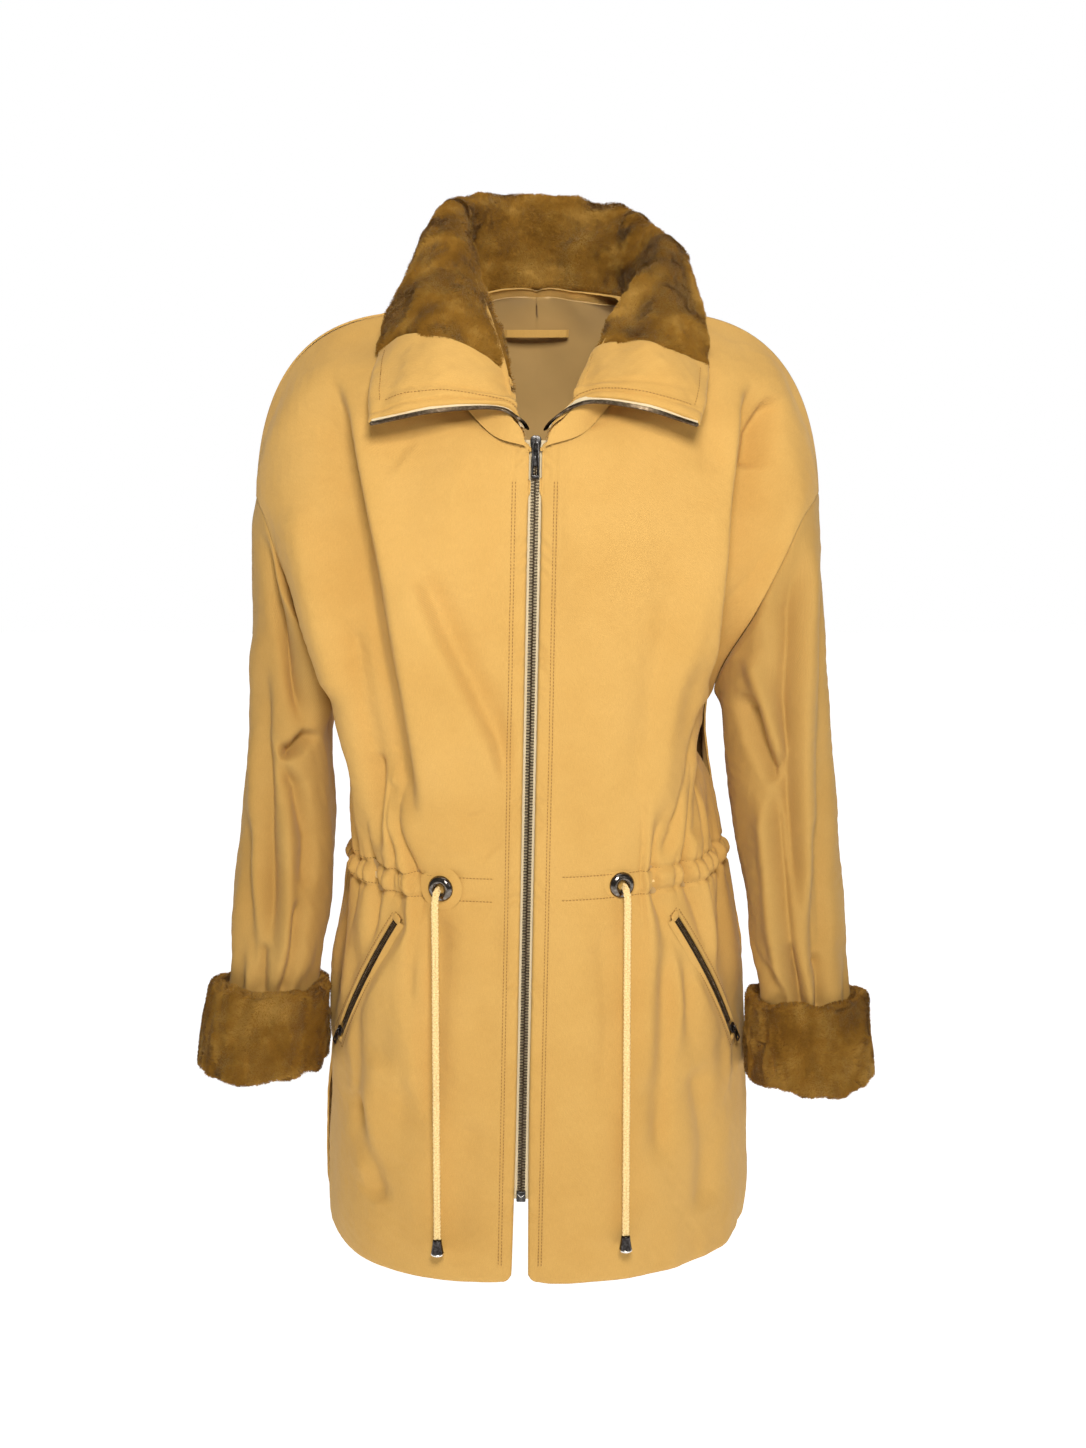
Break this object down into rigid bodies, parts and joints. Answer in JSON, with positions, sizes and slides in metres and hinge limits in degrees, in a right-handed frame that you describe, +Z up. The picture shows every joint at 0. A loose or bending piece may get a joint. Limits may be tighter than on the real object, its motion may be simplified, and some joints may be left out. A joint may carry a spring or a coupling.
{
  "type": "zip-front jacket",
  "caption": "Zip-front hip-length jacket with a wide plush collar, turned-back plush cuffs, slanted zip pockets and a drawcord waist.",
  "frame": {"origin": "middle of the neck opening, level with the highest point of the shoulder seams, where a form or hanger carries the jacket", "axes": "+Z up, the wearer faces -Y, the wearer's left side is +X"},
  "size_m": [0.6325, 0.3131, 0.9828],
  "materials": {
    "twill": "brushed cotton twill, matt",
    "plush": "short brushed pile",
    "lining": "satin",
    "tape": "woven tape",
    "cord": "tubular braid",
    "zip_metal": "dark antique plating",
    "eyelet_metal": "polished gunmetal plating",
    "cord_end_metal": "polished dark plating"
  },
  "bodies": {
    "jacket_body": {"back_panel": "twill", "collar_back_plush": "plush", "collar_back_shell": "twill", "collar_stand_plush_left": "plush", "collar_stand_plush_right": "plush", "collar_stand_shell_left": "twill", "collar_stand_shell_right": "twill", "collar_zip_stand_left": "zip_metal", "collar_zip_stand_right": "zip_metal", "drawcord_inside": "cord", "eyelet_left": "eyelet_metal", "eyelet_right": "eyelet_metal", "eyelet_washer_left": "eyelet_metal", "eyelet_washer_right": "eyelet_metal", "front_left": "twill", "front_right": "twill", "hanger_loop": "twill", "lining_back": "lining", "lining_front_left": "lining", "lining_front_right": "lining", "pocket_bag_left": "lining", "pocket_bag_right": "lining", "pocket_zip_left": "zip_metal", "pocket_zip_right": "zip_metal", "waist_casing": "twill", "zip_bottom_stop": "zip_metal", "zip_tape_left": "tape", "zip_tape_right": "tape", "zip_teeth_left": "zip_metal", "zip_teeth_right": "zip_metal"},
    "slider": {"zip_slider": "zip_metal"},
    "pull": {"zip_pull": "zip_metal"},
    "pocket_slider_body_left": {"pocket_slider_left": "zip_metal"},
    "pocket_pull_body_left": {"pocket_pull_left": "zip_metal"},
    "cord_body_left": {"drawcord_left": "cord", "cord_end_left": "cord_end_metal"},
    "sleeve_body_left": {"sleeve_left": "twill", "lining_sleeve_left": "lining", "cuff_plush_left": "plush"},
    "collar_wing_body_left": {"collar_wing_shell_left": "twill", "collar_wing_plush_left": "plush", "collar_wing_facing_left": "twill", "collar_zip_wing_left": "zip_metal"},
    "pocket_slider_body_right": {"pocket_slider_right": "zip_metal"},
    "pocket_pull_body_right": {"pocket_pull_right": "zip_metal"},
    "cord_body_right": {"drawcord_right": "cord", "cord_end_right": "cord_end_metal"},
    "sleeve_body_right": {"sleeve_right": "twill", "lining_sleeve_right": "lining", "cuff_plush_right": "plush"},
    "collar_wing_body_right": {"collar_wing_shell_right": "twill", "collar_wing_plush_right": "plush", "collar_wing_facing_right": "twill", "collar_zip_wing_right": "zip_metal"}
  },
  "joints": [
    {"name": "zip_slide", "type": "slide", "parent": "jacket_body", "child": "slider", "axis": [-0.0204, -0.0725, -0.9972], "range_m": [0, 0.66]},
    {"name": "zip_pull_hinge", "type": "hinge", "parent": "slider", "child": "pull", "pos_m": [-0.00013, -0.12066, -0.09821], "axis": [-0.9998, 0, 0.0205], "range_deg": [0, 150]},
    {"name": "pocket_zip_left", "type": "hinge", "parent": "jacket_body", "child": "pocket_slider_body_left", "pos_m": [-0.13089, 0.22862, -0.58762], "axis": [-0.6294, -0.5717, -0.5263], "range_deg": [0, 18]},
    {"name": "pocket_pull_hinge_left", "type": "hinge", "parent": "pocket_slider_body_left", "child": "pocket_pull_body_left", "pos_m": [0.18688, -0.05959, -0.65297], "axis": [-0.472, -0.6938, -0.5439], "range_deg": [0, 150]},
    {"name": "cord_swing_left", "type": "hinge", "parent": "jacket_body", "child": "cord_body_left", "pos_m": [0.07782, -0.13816, -0.48971], "axis": [-1, 0, 0], "range_deg": [0, 45]},
    {"name": "sleeve_lift_left", "type": "hinge", "parent": "jacket_body", "child": "sleeve_body_left", "pos_m": [0.262, 0, -0.147], "axis": [0, -1, 0], "range_deg": [0, 30]},
    {"name": "collar_wing_lift_left", "type": "hinge", "parent": "jacket_body", "child": "collar_wing_body_left", "pos_m": [0.09, 0.002, 0.076], "axis": [-0.3957, -0.6034, -0.6924], "range_deg": [0, 40]},
    {"name": "pocket_zip_right", "type": "hinge", "parent": "jacket_body", "child": "pocket_slider_body_right", "pos_m": [0.05871, 0.19498, -0.56911], "axis": [-0.7025, 0.4872, 0.5188], "range_deg": [0, 21]},
    {"name": "pocket_pull_hinge_right", "type": "hinge", "parent": "pocket_slider_body_right", "child": "pocket_pull_body_right", "pos_m": [-0.18699, -0.06699, -0.65308], "axis": [-0.4474, 0.696, 0.5616], "range_deg": [0, 150]},
    {"name": "cord_swing_right", "type": "hinge", "parent": "jacket_body", "child": "cord_body_right", "pos_m": [-0.0868, -0.14041, -0.49232], "axis": [-1, 0, 0], "range_deg": [0, 45]},
    {"name": "sleeve_lift_right", "type": "hinge", "parent": "jacket_body", "child": "sleeve_body_right", "pos_m": [-0.26, 0, -0.15], "axis": [0, 1, 0], "range_deg": [0, 30]},
    {"name": "collar_wing_lift_right", "type": "hinge", "parent": "jacket_body", "child": "collar_wing_body_right", "pos_m": [-0.043, 0.01, 0.112], "axis": [-0.1647, 0.5875, 0.7923], "range_deg": [0, 40]}
  ]
}
